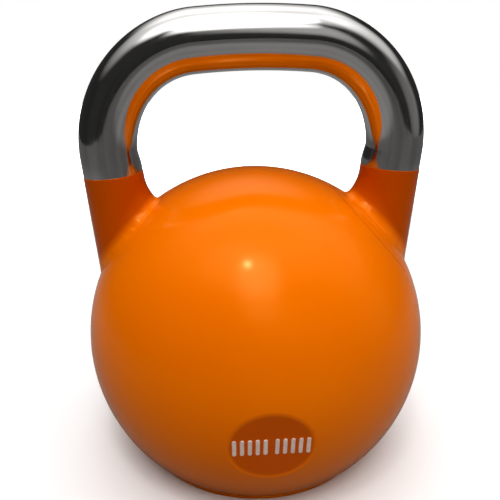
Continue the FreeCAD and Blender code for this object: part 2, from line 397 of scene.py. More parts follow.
def lower_shell(material):
    edge_radius = LAND_RADIUS + LAND_EDGE
    land_cut = (LAND_AXIS, math.sqrt(BALL_RADIUS ** 2 - edge_radius ** 2))
    girth = (UP, GIRTH_Z - BALL_CENTRE[2])
    base = (-UP, BALL_CENTRE[2] - BASE_SEAM_Z)
    corners = cut_ball([girth, base, land_cut])
    normals = [unit(face) for face in corners]
    points = np.concatenate(corners)
    on_edge = points[np.abs(points @ LAND_AXIS - land_cut[1]) < CUT_TOLERANCE]
    land_corners, land_normals = loose_faces(land_patches(land_edge_ring(on_edge)))
    corners += land_corners
    normals += land_normals
    return shell("lower_shell_enamelled", corners, normals, material)


# ---------------------------------------------------------------- grip bar line

CROWN_RADIUS = (CROWN_HALF_LENGTH ** 2 + CROWN_RISE ** 2) / (2 * CROWN_RISE)
CROWN_ANGLE = math.asin(CROWN_HALF_LENGTH / CROWN_RADIUS)
BEND_TURN = math.pi / 2 + LEG_LEAN - CROWN_ANGLE


def heading(angle):
    """The way the bar runs after turning down by an angle from level."""
    return np.array([math.cos(angle), 0, -math.sin(angle)])


def outward(angle):
    """The way out of the bend, square to the bar."""
    return np.array([math.sin(angle), 0, math.cos(angle)])


CROWN_CENTRE = np.array([0, 0, BAR_TOP_Z - CROWN_RADIUS])
BEND_CENTRE = CROWN_CENTRE + outward(CROWN_ANGLE) * (CROWN_RADIUS - BEND_RADIUS)
LEG_ANGLE = math.pi / 2 + LEG_LEAN
LEG_START = BEND_CENTRE + outward(LEG_ANGLE) * BEND_RADIUS
LEG_DOWN = heading(LEG_ANGLE)
LEG_UP = -LEG_DOWN
LEG_ACROSS = np.array([math.cos(LEG_LEAN), 0, -math.sin(LEG_LEAN)])
LEG_LENGTH = (LEG_START[2] - HORN_TOP_Z) / math.cos(LEG_LEAN)
HORN_TOP = LEG_START + LEG_DOWN * LEG_LENGTH


def half_bar_line():
    """(point, angle) samples from the middle of the crown to the foot of the right leg."""
    crown_turn = np.linspace(0, CROWN_ANGLE, CROWN_SAMPLES)
    bend_turn = np.linspace(CROWN_ANGLE, LEG_ANGLE, BEND_SAMPLES)
    crown = [(CROWN_CENTRE + outward(a) * CROWN_RADIUS, a) for a in crown_turn]
    bend = [(BEND_CENTRE + outward(a) * BEND_RADIUS, a) for a in bend_turn]
    leg = [(LEG_START + LEG_DOWN * s, LEG_ANGLE) for s in np.linspace(0, LEG_LENGTH, LEG_SAMPLES)]
    return crown + bend[1:] + leg[1:]


def whole_bar_line():
    right = half_bar_line()
    left = [(point * [-1, 1, 1], -angle) for point, angle in right[:0:-1]]
    return left + right


def distance_along(line):
    """How far each sample of a line is from its start, measured along the line."""
    points = np.array([point for point, angle in line])
    return np.concatenate([[0], np.cumsum(np.linalg.norm(np.diff(points, axis=0), axis=1))])


def smooth(share):
    """Eases a share from 0 to 1 in and out."""
    return share ** 2 * (3 - 2 * share)


def bent_radius(angle):
    """The bar's half thickness in its own plane, which bending narrows: most in the bend's first half."""
    share = np.clip((abs(angle) - CROWN_ANGLE) / BEND_TURN, 0, 1)
    in_bend = math.sin(math.pi * share ** BEND_NARROWING_SKEW) ** 2
    return BAR_RADIUS * (1 - BEND_NARROWING * in_bend - LEG_NARROWING * share ** 2)


def bar_ring(point, angle, sizes, bulge):
    """Points round the bar at one place on its line, from its half thickness outwards, inwards and in depth.

    The bulge stands out on the inner side, a little towards the back."""
    turn = turn_angles(BAR_STEPS)
    outer, inner, depth = sizes
    off_bulge = np.clip(np.abs(turn - BULGE_PLACE) / BULGE_REACH, 0, 1)
    extra = bulge * np.cos(math.pi / 2 * off_bulge) ** 2
    across = (np.where(np.cos(turn) > 0, outer, inner) + extra) * np.cos(turn)
    deep = (depth + extra) * np.sin(turn)
    return point + across[:, None] * outward(angle) + deep[:, None] * DEPTHWISE


def sweep(line, sizes, bulges=None, inward=False):
    """A skin along a line of (point, angle) samples, with its half thicknesses at every sample."""
    if bulges is None:
        bulges = np.zeros(len(line))
    rings = [bar_ring(*place, size, bulge) for place, size, bulge in zip(line, sizes, bulges)]
    grid = np.array(rings)
    along = np.gradient(grid, axis=0)
    around = np.roll(grid, -1, axis=1) - np.roll(grid, 1, axis=1)
    facing = unit(np.cross(around, along))
    away = np.sum(facing * (grid - grid.mean(axis=1, keepdims=True)))
    return patch(grid, facing if (away > 0) != inward else -facing)


def end_ring(outer, inner, angle, way):
    """The flat ring between two rings of points that closes a tube's end."""
    facing = np.tile(heading(angle) * way, (BAR_STEPS, 1))
    return patch(np.stack([outer, inner]), np.stack([facing, facing]))


def tube(line, outer_sizes, inner_sizes, bulges=None):
    """A closed tube: outer skin, bore and both ends."""
    outer = sweep(line, outer_sizes, bulges)
    inner = sweep(line, inner_sizes, inward=True)
    start = end_ring(outer["points"][0], inner["points"][0], line[0][1], -1)
    end = end_ring(outer["points"][-1], inner["points"][-1], line[-1][1], 1)
    return [outer, inner, start, end]


def bar_place(piece):
    """Gives every vertex of a bar piece its place round the bar and its place along it, much shortened."""
    line = whole_bar_line()
    points = np.array([point for point, angle in line])
    outs = np.array([outward(angle) for point, angle in line])
    vertices = np.array([vertex.co[:] for vertex in piece.data.vertices])
    flat = vertices * [1, 0, 1]
    nearest = np.argmin(np.sum((flat[:, None, :] - points[None]) ** 2, axis=2), axis=1)
    offset = vertices - points[nearest]
    round_place = unit(np.stack([np.sum(offset * outs[nearest], axis=1), offset[:, 1]], axis=1))
    along_place = distance_along(line)[nearest] * STREAK_SHORTENING
    place = np.column_stack([round_place * BAR_RADIUS, along_place])
    attribute = piece.data.attributes.new("bar_place", "FLOAT_VECTOR", "POINT")
    attribute.data.foreach_set("vector", place.ravel())
    return piece


def leg_sizes(angle, rise):
    """The bar's half thicknesses at a height above the horn's top: it swells a little towards the horn."""
    swell = smooth(np.clip(1 - rise / LEG_SWELL_LENGTH, 0, 1))
    edge = HORN_TOP_RADIUS - COLLAR_STEP
    bent = bent_radius(angle)
    inner = bent - swell * LEG_HOLLOW
    return np.array([bent + swell * (edge - bent), inner, BAR_RADIUS + swell * (edge - BAR_RADIUS)])


def line_rise(line):
    """How far each sample of the whole bar line is above the nearer horn's top, measured along the line."""
    along = distance_along(line)
    return np.minimum(along, along[-1] - along)


def handle_tube(material):
    line = whole_bar_line()
    sizes = np.array([leg_sizes(place[1], rise) for place, rise in zip(line, line_rise(line))])
    patches = tube(line, sizes, sizes - BAR_WALL)
    return bar_place(build("grip_bar_polished", patches, material))


def collar_line():
    """Samples down the last stretch of the right leg, each with its height above the horn's top."""
    first_angle = LEG_ANGLE - max(COLLAR_LENGTH - LEG_LENGTH, 0) / BEND_RADIUS
    samples = []
    for angle in np.linspace(first_angle, LEG_ANGLE, COLLAR_BEND_SAMPLES):
        rise = LEG_LENGTH + (LEG_ANGLE - angle) * BEND_RADIUS
        samples.append((BEND_CENTRE + outward(angle) * BEND_RADIUS, angle, rise))
    for down in np.linspace(0, LEG_LENGTH, COLLAR_LEG_SAMPLES)[1:]:
        samples.append((LEG_START + LEG_DOWN * down, LEG_ANGLE, LEG_LENGTH - down))
    return samples


def collar(name, material, side):
    """The turned sleeve over the bar's end, which bulges to the horn's size on its inner side."""
    samples = collar_line()
    line = [(point, angle) for point, angle, rise in samples]
    bar_sizes = np.array([leg_sizes(angle, rise) for point, angle, rise in samples])
    rises = np.array([rise for point, angle, rise in samples])
    share = np.clip((COLLAR_LENGTH - rises) / (COLLAR_LENGTH - COLLAR_LAND), 0, 1)
    bulges = smooth(share) * (HORN_TOP_RADIUS - bar_sizes[-1, 1])
    patches = tube(line, bar_sizes + COLLAR_LIP, bar_sizes - COLLAR_WRAP, bulges)
    return bar_place(build(name, on_side(patches, side), material))


def mirrored_patch(grid):
    flip = np.array([-1.0, 1.0, 1.0])
    normals = None if grid["normals"] is None else grid["normals"] * flip
    return patch(grid["points"] * flip, normals)


def on_side(patches, side):
    """The patches of a right-hand piece as they are, or mirrored for the left side, -1."""
    return [mirrored_patch(grid) for grid in patches] if side < 0 else patches


# ---------------------------------------------------------------- horns


def turn_by(vector, angle):
    """Turns a (radius, height) direction from outwards towards upwards."""
    cosine, sine = math.cos(angle), math.sin(angle)
    return np.array([cosine * vector[0] - sine * vector[1], sine * vector[0] + cosine * vector[1]])


def meeting_height(start, slope, centre, radius):
    """The upper height where the point start + (-slope * height, height) lies on a circle."""
    across, up = start - centre
    a = 1 + slope ** 2
    b = 2 * (up - slope * across)
    c = across ** 2 + up ** 2 - radius ** 2
    return (-b + math.sqrt(b * b - 4 * a * c)) / (2 * a)


def hollow_arc(centre, radius, normal, start, end, steps):
    """An arc of a hollow curve, its normals turning from one angle to another."""
    normals = np.array([turn_by(normal, t) for t in np.linspace(start, end, steps + 1)])
    return centre - radius * normals, normals


def foot_circle_angle(out, ball, section):
    """Where the horn's patch of wall ends: the angle on the ball's section in one half-plane of the horn."""
    level = BALL_RADIUS * math.cos(FOOT_CIRCLE_HALF_ANGLE) - FOOT_AXIS @ (HORN_TOP - BALL_CENTRE)
    p, q = FOOT_AXIS @ out, FOOT_AXIS @ LEG_UP
    reach = (level - p * ball[0] - q * ball[1]) / section
    swing = math.acos(reach / math.hypot(p, q))
    edges = [math.atan2(q, p) + swing, math.atan2(q, p) - swing]
    return max(edges, key=lambda turn: ball[0] + section * math.cos(turn))


def horn_column(angle):
    """The right horn's outline in one upright half-plane through its axis, as runs of points and normals.

    Down the stem, out along the wide flare, through the small crease and over the ball's own wall."""
    out = math.cos(angle) * LEG_ACROSS + math.sin(angle) * DEPTHWISE
    offset = HORN_TOP - BALL_CENTRE
    ball = np.array([-offset @ out, -offset @ LEG_UP])
    section = math.sqrt(BALL_RADIUS ** 2 - (offset @ np.cross(out, LEG_UP)) ** 2)
    top = np.array([HORN_TOP_RADIUS, 0])
    stem_normal = unit([1, HORN_TAPER])

    bare_height = meeting_height(top, HORN_TAPER, ball, section)
    ball_normal = unit(top + [-HORN_TAPER * bare_height, bare_height] - ball)
    corner = math.acos(stem_normal @ ball_normal)
    flare_turn = FLARE_TURN * math.sin(min(corner, math.pi / 2)) ** 2
    flare_shift = FLARE_RADIUS * stem_normal
    crease_shift = flare_shift - (FLARE_RADIUS - CREASE_RADIUS) * turn_by(stem_normal, flare_turn)
    height = meeting_height(top + crease_shift, HORN_TAPER, ball, section + CREASE_RADIUS)
    stem_end = top + [-HORN_TAPER * height, height]
    crease_centre = stem_end + crease_shift
    ball_normal = unit(crease_centre - ball)
    whole_turn = math.acos(stem_normal @ ball_normal)

    stem = np.linspace(top + [HORN_TAPER * HORN_LIP, -HORN_LIP], stem_end, STEM_SAMPLES)
    wall_start = math.atan2(ball_normal[1], ball_normal[0])
    wall_end = foot_circle_angle(out, ball, section)
    wall = round_run(ball, section, wall_start, wall_end, FLARE_STEPS)[0]
    runs = [
        (stem, np.tile(stem_normal, (STEM_SAMPLES, 1))),
        hollow_arc(stem_end + flare_shift, FLARE_RADIUS, stem_normal, 0, flare_turn, FLARE_STEPS),
        hollow_arc(crease_centre, CREASE_RADIUS, stem_normal, flare_turn, whole_turn, CREASE_STEPS),
        (wall, unit(wall - ball)),
    ]
    frame_axes = np.stack([out, LEG_UP])
    return [(HORN_TOP + points @ frame_axes, normals @ frame_axes) for points, normals in runs]


def horn_patches():
    """The right horn: stem, flare, crease and its round patch of the ball's wall, closed inside."""
    angles = turn_angles(HORN_STEPS)
    columns = [horn_column(angle) for angle in angles]
    outs = np.cos(angles)[:, None] * LEG_ACROSS + np.sin(angles)[:, None] * DEPTHWISE
    sides = np.cross(outs, LEG_DOWN)
    grids = []
    for same_runs in zip(*columns):
        points = np.stack([run_points for run_points, run_normals in same_runs], axis=1)
        flat_normals = np.stack([run_normals for run_points, run_normals in same_runs], axis=1)
        along = np.cross(sides, flat_normals)
        around = np.roll(points, -1, axis=1) - np.roll(points, 1, axis=1)
        normals = unit(np.cross(around, along))
        normals = normals * np.sign(np.sum(normals * flat_normals, axis=-1, keepdims=True))
        grids.append(patch(points, normals))
    rim = grids[-1]["points"][-1]
    inner_rim = BALL_CENTRE + (rim - BALL_CENTRE) * INNER_SCALE
    grids.append(patch(np.stack([rim, inner_rim])))
    shares = np.linspace(0, 1, CAP_RINGS)[:, None, None]
    cap = unit((1 - shares) * unit(inner_rim - BALL_CENTRE) + shares * FOOT_AXIS)
    grids.append(patch(BALL_CENTRE + cap * BALL_RADIUS * INNER_SCALE, -cap))
    return grids + horn_top(angles)


def horn_top(angles):
    """The horn's seat: a rounded paint edge, a flat ring and the dowel's socket."""
    bore = BAR_RADIUS - BAR_WALL
    low = HORN_TOP_RADIUS + HORN_TAPER * HORN_LIP
    runs = [
        round_run((low - HORN_LIP, -HORN_LIP), HORN_LIP, 0, math.pi / 2, LIP_STEPS),
        straight((low - HORN_LIP, 0), (bore, 0)),
        straight((bore, 0), (bore, -SOCKET_DEPTH)),
        straight((bore, -SOCKET_DEPTH), (0, -SOCKET_DEPTH)),
    ]
    return revolve(runs, HORN_TOP, LEG_UP, LEG_ACROSS, angles)


def horn(name, material, side):
    return build(name, on_side(horn_patches(), side), material)


# ---------------------------------------------------------------- foot, plug and washer


def base_plate(material):
    """The foot: an undercut ring with the plug's recess, and above it a strip of the ball's own curve."""
    centre_z = BALL_CENTRE[2]
    join_z = centre_z - math.sqrt(BALL_RADIUS ** 2 - FOOT_RADIUS ** 2)
    seam_radius = math.sqrt(BALL_RADIUS ** 2 - (centre_z - BASE_SEAM_Z) ** 2)
    outline = rounded_outline([
        (RECESS_RADIUS, 0, PLATE_EDGE),
        (UNDERCUT_INNER, 0, PLATE_EDGE),
        (UNDERCUT_INNER, UNDERCUT_DEPTH, PLATE_EDGE),
        (UNDERCUT_OUTER, UNDERCUT_DEPTH, PLATE_EDGE),
        (UNDERCUT_OUTER, 0, PLATE_EDGE),
        (FOOT_RADIUS, 0, FOOT_EDGE),
        (FOOT_RADIUS, join_z, 0),
        (seam_radius, BASE_SEAM_Z, 0),
        (LIP_RADIUS, BASE_SEAM_Z, 0),
        (LIP_RADIUS, PLATE_TOP_Z, PLATE_EDGE),
        (THREAD_RADIUS, PLATE_TOP_Z, PLATE_EDGE),
        (THREAD_RADIUS, RECESS_DEPTH, 0),
        (RECESS_RADIUS, RECESS_DEPTH, 0),
    ])
    start = math.atan2(join_z - centre_z, FOOT_RADIUS)
    end = math.atan2(BASE_SEAM_Z - centre_z, seam_radius)
    rim = round_run((0, centre_z), BALL_RADIUS, start, end, LIP_STEPS)
    rim_ends = [(FOOT_RADIUS, join_z), (seam_radius, BASE_SEAM_Z)]
    runs = [rim if stands_for(run, rim_ends) else run for run in outline]
    return build("foot_plate_enamelled", turned(runs), material)


def stands_for(run, ends):
    """True for the straight run between these two (radius, height) ends."""
    points = run[0]
    return len(points) == 2 and np.allclose(points, ends, rtol=0, atol=SAME_PLACE)


def plug_washer(material):
    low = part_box("plug_washer")[0].z
    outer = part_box("plug_washer")[1].x
    runs = rounded_outline([
        (THREAD_RADIUS, low, WASHER_EDGE),
        (outer, low, WASHER_EDGE),
        (outer, RECESS_DEPTH, WASHER_EDGE),
        (THREAD_RADIUS, RECESS_DEPTH, WASHER_EDGE),
    ])
    return build("plug_seal", turned(runs, PLUG_STEPS), material)


def fill_plug(material):
    """A flanged plug with a bevelled hexagon socket."""
    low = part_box("fill_plug")[0].z
    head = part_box("fill_plug")[1].x
    head_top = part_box("plug_washer")[0].z
    mouth_radius = HEX_ACROSS_FLATS / math.sqrt(3) + HEX_BEVEL
    inside = head - PLUG_EDGE
    runs = [
        straight((mouth_radius, low), (inside, low)),
        round_run((inside, low + PLUG_EDGE), PLUG_EDGE, -math.pi / 2, 0, CORNER_STEPS),
        straight((head, low + PLUG_EDGE), (head, head_top - PLUG_EDGE)),
        round_run((inside, head_top - PLUG_EDGE), PLUG_EDGE, 0, math.pi / 2, CORNER_STEPS),
        straight((inside, head_top), (THREAD_RADIUS, head_top)),
        straight((THREAD_RADIUS, head_top), (THREAD_RADIUS, PLATE_TOP_Z)),
        straight((THREAD_RADIUS, PLATE_TOP_Z), (0, PLATE_TOP_Z)),
    ]
    patches = turned(runs, PLUG_STEPS) + hexagon_socket(low, mouth_radius)
    return build("filling_plug", patches, material)


def hexagon_socket(low, mouth_radius):
    angles = turn_angles(PLUG_STEPS)
    spin = np.stack([np.cos(angles), np.sin(angles), np.zeros(PLUG_STEPS)], axis=1)
    off_flat = angles % (math.pi / 3) - math.pi / 6
    hexagon = (HEX_ACROSS_FLATS / 2 / np.cos(off_flat))[:, None] * spin
    mouth = mouth_radius * spin
    bevel_top = hexagon + UP * (low + HEX_BEVEL)
    roof_edge = hexagon + UP * (low + HEX_DEPTH)
    roof_middle = 0 * hexagon + UP * (low + HEX_DEPTH)
    rings = [mouth + UP * low, bevel_top, roof_edge, roof_middle]
    return [patch(np.stack(pair)) for pair in zip(rings, rings[1:])]


# ---------------------------------------------------------------- weight marks


def stadium(half_width, half_straight):
    """An upright bar's outline with round ends, as (x, y) points."""
    turn = np.linspace(0, math.pi, MARK_END_STEPS)
    upper = np.stack([np.cos(turn), np.sin(turn)], axis=1) * half_width + [0, half_straight]
    return np.concatenate([upper, -upper])


def mark_patches(x):
    """One raised bar on the land: its wall with a rounded upper edge, its top and its bottom."""
    half_straight = (MARK_HEIGHT - MARK_WIDTH) / 2
    upright = np.cross(LAND_AXIS, SIDEWAYS)
    middle = BALL_CENTRE + LAND_AXIS * LAND_DISTANCE

    def on_land(flat, height):
        return middle + (flat[:, :1] + x) * SIDEWAYS + flat[:, 1:] * upright + height * LAND_AXIS

    outline = stadium(MARK_WIDTH / 2, half_straight)
    round_ends = stadium(1, 0)
    side = unit(round_ends[:, :1] * SIDEWAYS + round_ends[:, 1:] * upright)
    rings = [on_land(outline, -MARK_ROOT), on_land(outline, MARK_PROUD - MARK_EDGE)]
    normals = [side, side]
    for angle in np.linspace(0, math.pi / 2, LIP_STEPS)[1:]:
        inset = MARK_EDGE * (1 - math.cos(angle))
        height = MARK_PROUD - MARK_EDGE * (1 - math.sin(angle))
        rings.append(on_land(stadium(MARK_WIDTH / 2 - inset, half_straight), height))
        normals.append(side * math.cos(angle) + LAND_AXIS * math.sin(angle))
    spine = np.clip(outline, [0, -half_straight], [0, half_straight])
    top = np.stack([rings[-1], on_land(spine, MARK_PROUD)])
    bottom = np.stack([rings[0], on_land(spine, -MARK_ROOT)])
    face = np.tile(LAND_AXIS, (2, len(side), 1))
    return [patch(np.stack(rings), np.stack(normals)), patch(top, face), patch(bottom, -face)]


def weight_marks(material):
    """Two groups of bars, side by side with a gap between the groups."""
    patches = []
    for i in range(MARK_COUNT):
        side = -1 if i < MARK_COUNT / 2 else 1
        patches += mark_patches((i - (MARK_COUNT - 1) / 2) * MARK_PITCH + side * MARK_GROUP_GAP / 2)
    return build("weight_marks_raised", patches, material)


# ---------------------------------------------------------------- materials

# Linear colours and other values of the looks. Most mix a darker and a lighter shade by a noise.
ORANGE_DEEP = (0.91, 0.22, 0.001)
ORANGE = (0.95, 0.24, 0.002)
# Painted shade: the horns' enamel is darker than the scene's light alone makes it.
HORN_PAINTED_SHADE_ORANGE = (0.62, 0.115, 0.001)
# Painted shade: the downward-facing land is painted darker, as its shade.
LAND_PAINTED_SHADE_ORANGE = (0.7, 0.135, 0.002)
ENAMEL_GLOSS_TINT = (1.0, 0.55, 0.25)
ENAMEL_IOR = 1.4
STEEL_DARK = (0.42, 0.41, 0.40)
STEEL_LIGHT = (0.68, 0.67, 0.65)
STEEL_CLOUD = (0.57, 0.55, 0.54)
BARE_STEEL_DARK = (0.36, 0.36, 0.36)
BARE_STEEL_LIGHT = (0.5, 0.5, 0.49)
# Painted shade of the shot grains: lit middles and shaded gaps.
SHOT_LIT_MIDDLE = (0.3, 0.29, 0.28)
SHOT_SHADED_GAPS = (0.08, 0.08, 0.08)
SHOT_SCALE = 600
RUBBER_DARK = (0.02, 0.02, 0.02)
RUBBER_LIGHT = (0.035, 0.035, 0.035)
MARK_DARK = (0.86, 0.66, 0.58)
MARK_LIGHT = (0.95, 0.78, 0.70)

# Where the enamel's changes start and end, by distance past the ball's surface. The horn and land ranges
# place painted shade.
HORN_PAINTED_SHADE_RANGE = (1.5 * MM, 6 * MM)
LAND_PAINTED_SHADE_RANGE = (-0.6 * MM, -0.2 * MM)
CREASE_START_RANGE = (0.02 * MM, 0.3 * MM)
CREASE_END_RANGE = (1.5 * MM, 4 * MM)

# The part of a noise's values that a look uses, and the shares it turns them into.
MIDDLE = (0.35, 0.65)
WIDER = (0.3, 0.7)
HIGH = (0.5, 0.75)
RISING = (0, 1)
FALLING = (1, 0)


def node_material(name):
    material = bpy.data.materials.new(name)
    material.use_nodes = True
    tree = material.node_tree
    return material, tree, tree.nodes["Principled BSDF"]


def add(tree, kind, **properties):
    node = tree.nodes.new(kind)
    for key, value in properties.items():
        setattr(node, key, value)
    return node


def object_place(tree):
    return add(tree, "ShaderNodeTexCoord").outputs["Object"]


def noise(tree, scale, detail, roughness=0.5, place=None):
    if place is None:
        place = object_place(tree)
    texture = add(tree, "ShaderNodeTexNoise")
    texture.inputs["Scale"].default_value = scale
    texture.inputs["Detail"].default_value = detail
    texture.inputs["Roughness"].default_value = roughness
    tree.links.new(place, texture.inputs["Vector"])
    return texture.outputs["Fac"]


def spread(tree, value, given, wanted, easing="LINEAR"):
    """Maps a value's range onto another range, and holds it at the ends."""
    node = add(tree, "ShaderNodeMapRange", interpolation_type=easing)
    for key, number in zip(("From Min", "From Max", "To Min", "To Max"), (*given, *wanted)):
        node.inputs[key].default_value = number
    tree.links.new(value, node.inputs["Value"])
    return node.outputs["Result"]


def maths(tree, operation, first, second):
    node = add(tree, "ShaderNodeMath", operation=operation)
    tree.links.new(first, node.inputs[0])
    tree.links.new(second, node.inputs[1])
    return node.outputs["Value"]


def mix_colours(tree, share, first, second):
    node = add(tree, "ShaderNodeMix", data_type="RGBA")
    tree.links.new(share, node.inputs["Factor"])
    for socket, colour in ((node.inputs["A"], first), (node.inputs["B"], second)):
        if isinstance(colour, tuple):
            socket.default_value = (*colour, 1)
        else:
            tree.links.new(colour, socket)
    return node.outputs["Result"]


def bump(tree, height, strength, distance, before=None):
    node = add(tree, "ShaderNodeBump")
    node.inputs["Strength"].default_value = strength
    node.inputs["Distance"].default_value = distance
    tree.links.new(height, node.inputs["Height"])
    if before is not None:
        tree.links.new(before, node.inputs["Normal"])
    return node.outputs["Normal"]


def past_ball(tree, distances, shares):
    """A share that changes between two distances past the ball's surface."""
    reach = add(tree, "ShaderNodeVectorMath", operation="DISTANCE")
    tree.links.new(object_place(tree), reach.inputs[0])
    reach.inputs[1].default_value = BALL_CENTRE
    radii = [BALL_RADIUS + distance for distance in distances]
    return spread(tree, reach.outputs["Value"], radii, shares)


def enamel():
    """Gloss orange enamel: slight shade variation, painted shade that darkens the horns and the land, and
    orange peel.
    """
    material, tree, shader = node_material("orange_enamel")
    shade = spread(tree, noise(tree, scale=9, detail=2), MIDDLE, RISING)
    colour = mix_colours(tree, shade, ORANGE_DEEP, ORANGE)
    # Painted shade darkens the horns.
    colour = mix_colours(tree, past_ball(tree, HORN_PAINTED_SHADE_RANGE, RISING), colour, HORN_PAINTED_SHADE_ORANGE)
    # Painted shade darkens the land.
    colour = mix_colours(tree, past_ball(tree, LAND_PAINTED_SHADE_RANGE, FALLING), colour, LAND_PAINTED_SHADE_ORANGE)
    roughness = spread(tree, noise(tree, scale=40, detail=4), WIDER, (0.14, 0.2))
    peel = bump(tree, noise(tree, scale=420, detail=2), strength=0.05, distance=0.05 * MM)
    tree.links.new(colour, shader.inputs["Base Color"])
    tree.links.new(roughness, shader.inputs["Roughness"])
    tree.links.new(crease_lumps(tree, peel), shader.inputs["Normal"])
    shader.inputs["IOR"].default_value = ENAMEL_IOR
    shader.inputs["Specular Tint"].default_value = (*ENAMEL_GLOSS_TINT, 1)
    return material


def crease_lumps(tree, before):
    """The uneven surface of the weld under the paint, where a horn meets the ball."""
    started = past_ball(tree, CREASE_START_RANGE, RISING)
    not_ended = past_ball(tree, CREASE_END_RANGE, FALLING)
    at_crease = maths(tree, "MULTIPLY", started, not_ended)
    lumps = maths(tree, "MULTIPLY", noise(tree, scale=260, detail=2), at_crease)
    return bump(tree, lumps, strength=0.8, distance=0.9 * MM, before=before)


def polished_steel():
    """Polished bar steel: fine polishing lines along the bar, a faint cloudiness and small scuffs."""
    material, tree, shader = node_material("polished_bar_steel")
    shader.inputs["Metallic"].default_value = 1
    place = add(tree, "ShaderNodeAttribute", attribute_name="bar_place").outputs["Vector"]
    broad = noise(tree, scale=170, detail=2, place=place)
    fine = noise(tree, scale=1100, detail=3, place=place)
    colour = mix_colours(tree, spread(tree, broad, MIDDLE, RISING), STEEL_DARK, STEEL_LIGHT)
    cloud = spread(tree, noise(tree, scale=35, detail=3), MIDDLE, (0, 0.5))
    scuffs = spread(tree, noise(tree, scale=130, detail=5, roughness=0.6), HIGH, (0, 0.06))
    roughness = maths(tree, "ADD", spread(tree, fine, WIDER, (0.05, 0.13)), scuffs)
    ripple = bump(tree, broad, strength=0.25, distance=0.03 * MM)
    lines = bump(tree, fine, strength=0.15, distance=0.006 * MM, before=ripple)
    tree.links.new(mix_colours(tree, cloud, colour, STEEL_CLOUD), shader.inputs["Base Color"])
    tree.links.new(roughness, shader.inputs["Roughness"])
    tree.links.new(lines, shader.inputs["Normal"])
    return material


def bare_steel():
    material, tree, shader = node_material("bare_steel")
    tone = spread(tree, noise(tree, scale=200, detail=4), WIDER, RISING)
    roughness = spread(tree, noise(tree, scale=500, detail=4), WIDER, (0.3, 0.45))
    shader.inputs["Metallic"].default_value = 1
    tree.links.new(mix_colours(tree, tone, BARE_STEEL_DARK, BARE_STEEL_LIGHT), shader.inputs["Base Color"])
    tree.links.new(roughness, shader.inputs["Roughness"])
    return material


def filling():
    """Bonded shot: packed grains with painted shade, light in the middle and dark between them."""
    material, tree, shader = node_material("bonded_shot")
    grain = add(tree, "ShaderNodeTexVoronoi")
    grain.inputs["Scale"].default_value = SHOT_SCALE
    tree.links.new(object_place(tree), grain.inputs["Vector"])
    off_middle = grain.outputs["Distance"]
    relief = bump(tree, off_middle, strength=0.6, distance=0.3 * MM)
    # Painted shade: each grain darkens from its lit middle to the gaps between grains.
    tree.links.new(mix_colours(tree, off_middle, SHOT_LIT_MIDDLE, SHOT_SHADED_GAPS), shader.inputs["Base Color"])
    shader.inputs["Roughness"].default_value = 0.6
    tree.links.new(relief, shader.inputs["Normal"])
    return material


def seal_rubber():
    material, tree, shader = node_material("seal_rubber")
    tone = spread(tree, noise(tree, scale=300, detail=3), WIDER, RISING)
    grain = bump(tree, noise(tree, scale=900, detail=3), strength=0.2, distance=0.05 * MM)
    tree.links.new(mix_colours(tree, tone, RUBBER_DARK, RUBBER_LIGHT), shader.inputs["Base Color"])
    shader.inputs["Roughness"].default_value = 0.7
    tree.links.new(grain, shader.inputs["Normal"])
    return material


def mark_paint():
    material, tree, shader = node_material("mark_paint")
    tone = spread(tree, noise(tree, scale=350, detail=4), MIDDLE, RISING)
    grain = bump(tree, noise(tree, scale=1500, detail=2), strength=0.1, distance=0.03 * MM)
    tree.links.new(mix_colours(tree, tone, MARK_DARK, MARK_LIGHT), shader.inputs["Base Color"])
    shader.inputs["Roughness"].default_value = 0.4
    tree.links.new(grain, shader.inputs["Normal"])
    return material


# ---------------------------------------------------------------- stage, light and camera
# Directions are in degrees: azimuth from the front towards +X, elevation from level.

WHITE = (1, 1, 1)

CAMERA_AZIMUTH = -4.78
CAMERA_ELEVATION = 27.19
CAMERA_DISTANCE = 365.4 * MM
CAMERA_YAW = math.radians(-2.967)
CAMERA_PITCH = math.radians(-23.24)
CAMERA_ROLL = math.radians(-1.06)
CAMERA_LENS_MM = 39.5
CAMERA_SENSOR_MM = 36
CAMERA_SHIFT = (0.024, 0.08)
CAMERA_NEAR = 0.01

FLOOR_HALF = 3.0
FLOOR_SEEN = (0.9, 0.9, 0.9)
FLOOR_BOUNCE = (0.3, 0.3, 0.3)
FLOOR_FAR_BOUNCE = (0.14, 0.14, 0.14)
FLOOR_LIT_RADIUS = 0.55
FLOOR_DARK_RADIUS = 1.0
FLOOR_ROUGHNESS = 0.9

KEY_AZIMUTH = -13
KEY_ELEVATION = 65
KEY_DISTANCE = 0.9
KEY_SIZE = 0.05
KEY_RADIANCE = 90
WALL_LIGHT = (0.06, 0.06, 0.06)

# Name, azimuth, elevation, half angle at full strength, half angle at the soft edge, strength.
PANELS = [
    ("ceiling", 0, 90, 10, 50, 1.0),
    ("front_top", 0, 76, 6, 20, 1.0),
    ("front_high", 0, 60, 6, 18, 4.5),
    ("front_mid", 0, 44, 6, 18, 2.0),
    ("front_low", 15, 27, 4, 20, 0.5),
    ("front_left", -38, 64, 5, 22, 1.5),
    ("front_right", 38, 64, 5, 22, 0.5),
    ("right_high", 90, 50, 5, 32, 1.0),
    ("left_high", -90, 55, 5, 30, 0.5),
    ("back_high", 180, 60, 5, 36, 1.0),
    ("right_wall", 75, 10, 5, 30, 0.3),
]

BLACK_LEVEL = 0.004
CONTRAST = 1.2
CONTRAST_PLACES = (0.02, 0.06, 0.15, 0.3, 0.5, 0.75)


def compass(azimuth, elevation):
    a, e = math.radians(azimuth), math.radians(elevation)
    return Vector((math.sin(a) * math.cos(e), -math.cos(a) * math.cos(e), math.sin(e)))


def camera_ray(tree):
    """One for what the camera sees directly, nought for what lights the object or shows in it."""
    return add(tree, "ShaderNodeLightPath").outputs["Is Camera Ray"]


